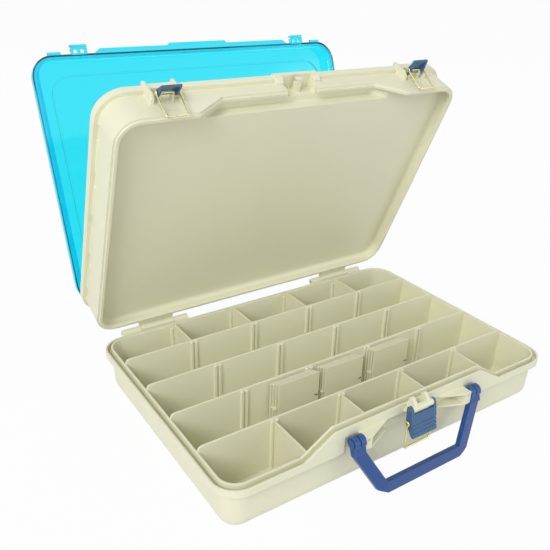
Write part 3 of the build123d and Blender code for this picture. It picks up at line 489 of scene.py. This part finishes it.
# %% A tree that repeats a plate
def repeat_tree(material, copies):
    """A tree that copies what it is given along a staggered line."""
    tree, given, result = new_tree("plate set", {"Pitch": 0.0024, "Stagger": 0.002})
    step = tree.nodes.new("ShaderNodeCombineXYZ")
    turned = tree.nodes.new("ShaderNodeMath")
    turned.operation = "MULTIPLY"
    turned.inputs[1].default_value = -1.0
    row = tree.nodes.new("GeometryNodeMeshLine")
    row.inputs["Count"].default_value = copies
    place = tree.nodes.new("GeometryNodeInstanceOnPoints")
    links_between(
        tree,
        (given.outputs["Stagger"], step.inputs["X"]),
        (given.outputs["Pitch"], turned.inputs[0]),
        (turned.outputs[0], step.inputs["Y"]),
        (step.outputs["Vector"], row.inputs["Offset"]),
        (row.outputs["Mesh"], place.inputs["Points"]),
        (given.outputs["Geometry"], place.inputs["Instance"]),
    )
    finished(tree, place.outputs["Instances"], material, result)
    return tree


def prism(outline, low, high):
    """Vertices and faces of an outline in x and z, with depth from y low to y high."""
    count = len(outline)
    vertices = [(x, y, z) for y in (low, high) for x, z in outline]
    walls = [(i, (i + 1) % count, count + (i + 1) % count, count + i) for i in range(count)]
    return vertices, [tuple(range(count))[::-1], tuple(range(count, 2 * count))] + walls


def joined(*parts):
    """Several lots of vertices and faces as one."""
    vertices, faces = [], []
    for more_vertices, more_faces in parts:
        start = len(vertices)
        vertices += more_vertices
        faces += [tuple(start + i for i in face) for face in more_faces]
    return vertices, faces


# %% The three sets
spare_count, spare_pitch, spare_stagger, spare_thickness = 4, 0.0024, 0.002, 0.0016
floor_corner, corner_steps, chamfer = 0.0138, 8, 0.00025
strip_half, strip_height = 0.002, 0.0016
plate_set = repeat_tree(divider_plastic, spare_count)
for side in ("left", "middle", "right"):
    name = "spare_dividers_" + side
    low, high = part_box(name)
    length = high.x - low.x - (spare_count - 1) * spare_stagger
    outline = [(low.x, low.z + chamfer), (low.x + chamfer, low.z)]
    for k in range(corner_steps + 1):
        angle = math.radians(-90 + 90 * k / corner_steps)
        outline.append(
            (
                low.x + length - floor_corner + floor_corner * math.cos(angle),
                low.z + floor_corner + floor_corner * math.sin(angle),
            )
        )
    outline += [
        (low.x + length, high.z - 2 * chamfer),
        (low.x + length - 2 * chamfer, high.z),
        (low.x + 2 * chamfer, high.z),
        (low.x, high.z - 2 * chamfer),
    ]
    back = high.y - spare_thickness
    vertices, faces = prism(outline, back, high.y)
    piece = made_with(
        plate_set, name + "_plates", vertices, [], faces, Pitch=spare_pitch, Stagger=spare_stagger
    )
    piece.data.shade_flat()
    strips = []
    for x in ((low.x + high.x - length) / 2, (low.x + high.x + length) / 2):
        bottom = high.z / 2 - strip_height / 2
        square = [(x - strip_half, bottom), (x + strip_half, bottom)]
        square += [(x + strip_half, bottom + strip_height), (x - strip_half, bottom + strip_height)]
        strips.append(prism(square, low.y, high.y))
    vertices, faces = joined(*strips)
    strip_mesh = bpy.data.meshes.new(name + "_strips")
    strip_mesh.from_pydata(vertices, [], faces)
    strip_mesh.materials.append(divider_plastic)
    strip_piece = bpy.data.objects.new(name + "_strips", strip_mesh)
    bpy.context.scene.collection.objects.link(strip_piece)
    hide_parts(name)
    for part in (piece, strip_piece):
        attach(part, name)
    print(name, "plates:", spare_count, "faces:", len(piece.data.polygons))

# %% [markdown]
# ## Floor and backdrop
#
# The photograph was taken on white. The floor and the world show as white to the camera, and in
# reflections and through the clear cover, while the light that they give stays at a plain level.

# %% Floor
floor_mesh = bpy.data.meshes.new("floor")
floor_half = 60.0
corner_signs = ((-1, -1), (1, -1), (1, 1), (-1, 1))
floor_corners = [(x * floor_half, y * floor_half, 0) for x, y in corner_signs]
floor_mesh.from_pydata(floor_corners, [], [(0, 1, 2, 3)])
floor = bpy.data.objects.new("floor", floor_mesh)
bpy.context.scene.collection.objects.link(floor)
floor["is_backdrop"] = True
print("floor:", 2 * floor_half, "m wide")


# %% White where the camera sees it
def seen_directly(tree):
    """1 for rays that show a surface to the camera, in a reflection or through clear plastic."""
    path = tree.nodes.new("ShaderNodeLightPath")
    total = path.outputs["Is Camera Ray"]
    for name in ("Is Glossy Ray", "Is Transmission Ray"):
        larger = tree.nodes.new("ShaderNodeMath")
        larger.operation = "MAXIMUM"
        links_between(tree, (total, larger.inputs[0]), (path.outputs[name], larger.inputs[1]))
        total = larger.outputs[0]
    return total


floor_grey, floor_roughness, floor_white_share = 0.8, 0.9, 0.95
floor_paint = bpy.data.materials.new("white sweep")
floor_paint.use_nodes = True
floor_tree = floor_paint.node_tree
floor_shader = floor_tree.nodes["Principled BSDF"]
floor_shader.inputs["Base Color"].default_value = (floor_grey, floor_grey, floor_grey, 1)
floor_shader.inputs["Roughness"].default_value = floor_roughness
floor_glow = floor_tree.nodes.new("ShaderNodeEmission")
floor_glow.inputs["Color"].default_value = (1, 1, 1, 1)
floor_mix = floor_tree.nodes.new("ShaderNodeMixShader")
floor_share = floor_tree.nodes.new("ShaderNodeMath")
floor_share.operation = "MULTIPLY"
floor_share.inputs[1].default_value = floor_white_share
links_between(
    floor_tree,
    (seen_directly(floor_tree), floor_share.inputs[0]),
    (floor_share.outputs[0], floor_mix.inputs[0]),
    (floor_shader.outputs[0], floor_mix.inputs[1]),
    (floor_glow.outputs[0], floor_mix.inputs[2]),
    (floor_mix.outputs[0], floor_tree.nodes["Material Output"].inputs["Surface"]),
)
floor_mesh.materials.append(floor_paint)
print("floor:", floor_paint.name, "white share:", floor_white_share)

# %% World
world = bpy.data.worlds.new("studio")
bpy.context.scene.world = world
world.use_nodes = True
world_tree = world.node_tree
backdrop = world_tree.nodes["Background"]
backdrop.inputs["Color"].default_value = (1, 1, 1, 1)
ambient, white = 0.5, 1.0
world_strength = world_tree.nodes.new("ShaderNodeMapRange")
world_strength.inputs["To Min"].default_value = ambient
world_strength.inputs["To Max"].default_value = white
links_between(
    world_tree,
    (seen_directly(world_tree), world_strength.inputs["Value"]),
    (world_strength.outputs["Result"], backdrop.inputs["Strength"]),
)
print("world: light", ambient, "seen as", white)


# %% [markdown]
# ## Light
#
# The photograph has soft shadows and no hard highlight, as from large soft boxes. The strongest
# stands to the upper left of the camera, a weak one low on the right lifts the lid's underside, and
# one stands behind. Each is an area light, because a point would give hard shadows.

# %% Soft boxes
aim = (0, 0, 0.1)


def soft_box(name, place, target, size, watts):
    """A square area light at a place, turned to a target."""
    light = bpy.data.lights.new(name, "AREA")
    light.shape = "SQUARE"
    light.size = size
    light.energy = watts
    lamp = bpy.data.objects.new(name, light)
    bpy.context.scene.collection.objects.link(lamp)
    lamp.location = place
    lamp.rotation_mode = "QUATERNION"
    lamp.rotation_quaternion = (Vector(target) - Vector(place)).to_track_quat("-Z", "Y")
    return lamp


soft_box("key light", (-1.9, -1.2, 1.7), aim, size=1.2, watts=40)
soft_box("fill light", (1.2, -1.8, 0.5), aim, size=1.6, watts=8)
soft_box("back light", (0.9, 2.1, 1.7), aim, size=1.6, watts=8)
print("lights:", len(bpy.data.lights))

# %% [markdown]
# ## Camera
#
# Vanishing lines and known corners of the box give the camera's place and turn. Its lens is just
# under 44 mm on a 36 mm sensor.

# %% Camera at the photograph's angle
camera_place = Vector((-0.4318, -0.52915, 0.4757))
camera_yaw, camera_pitch, camera_roll = (math.radians(angle) for angle in (-34.19, 25.37, 1.57))
sensor_width, focal_length = 36.0, 43.57
camera_back = Vector(
    (
        math.sin(camera_yaw) * math.cos(camera_pitch),
        -math.cos(camera_yaw) * math.cos(camera_pitch),
        math.sin(camera_pitch),
    )
)
level_right = Vector((math.cos(camera_yaw), math.sin(camera_yaw), 0))
level_up = camera_back.cross(level_right)
camera_right = math.cos(camera_roll) * level_right + math.sin(camera_roll) * level_up
camera_up = camera_back.cross(camera_right)

camera_data = bpy.data.cameras.new("camera")
camera_data.sensor_width = sensor_width
camera_data.lens = focal_length
camera = bpy.data.objects.new("camera", camera_data)
bpy.context.scene.collection.objects.link(camera)
camera_turn = Matrix((camera_right, camera_up, camera_back)).transposed().to_4x4()
camera.matrix_world = Matrix.Translation(camera_place) @ camera_turn
bpy.context.scene.camera = camera
bpy.context.scene.view_settings.view_transform = "Standard"
print("camera lens:", focal_length, "mm")

# %% Find the scene's bounds
bpy.context.view_layer.update()
low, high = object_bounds()
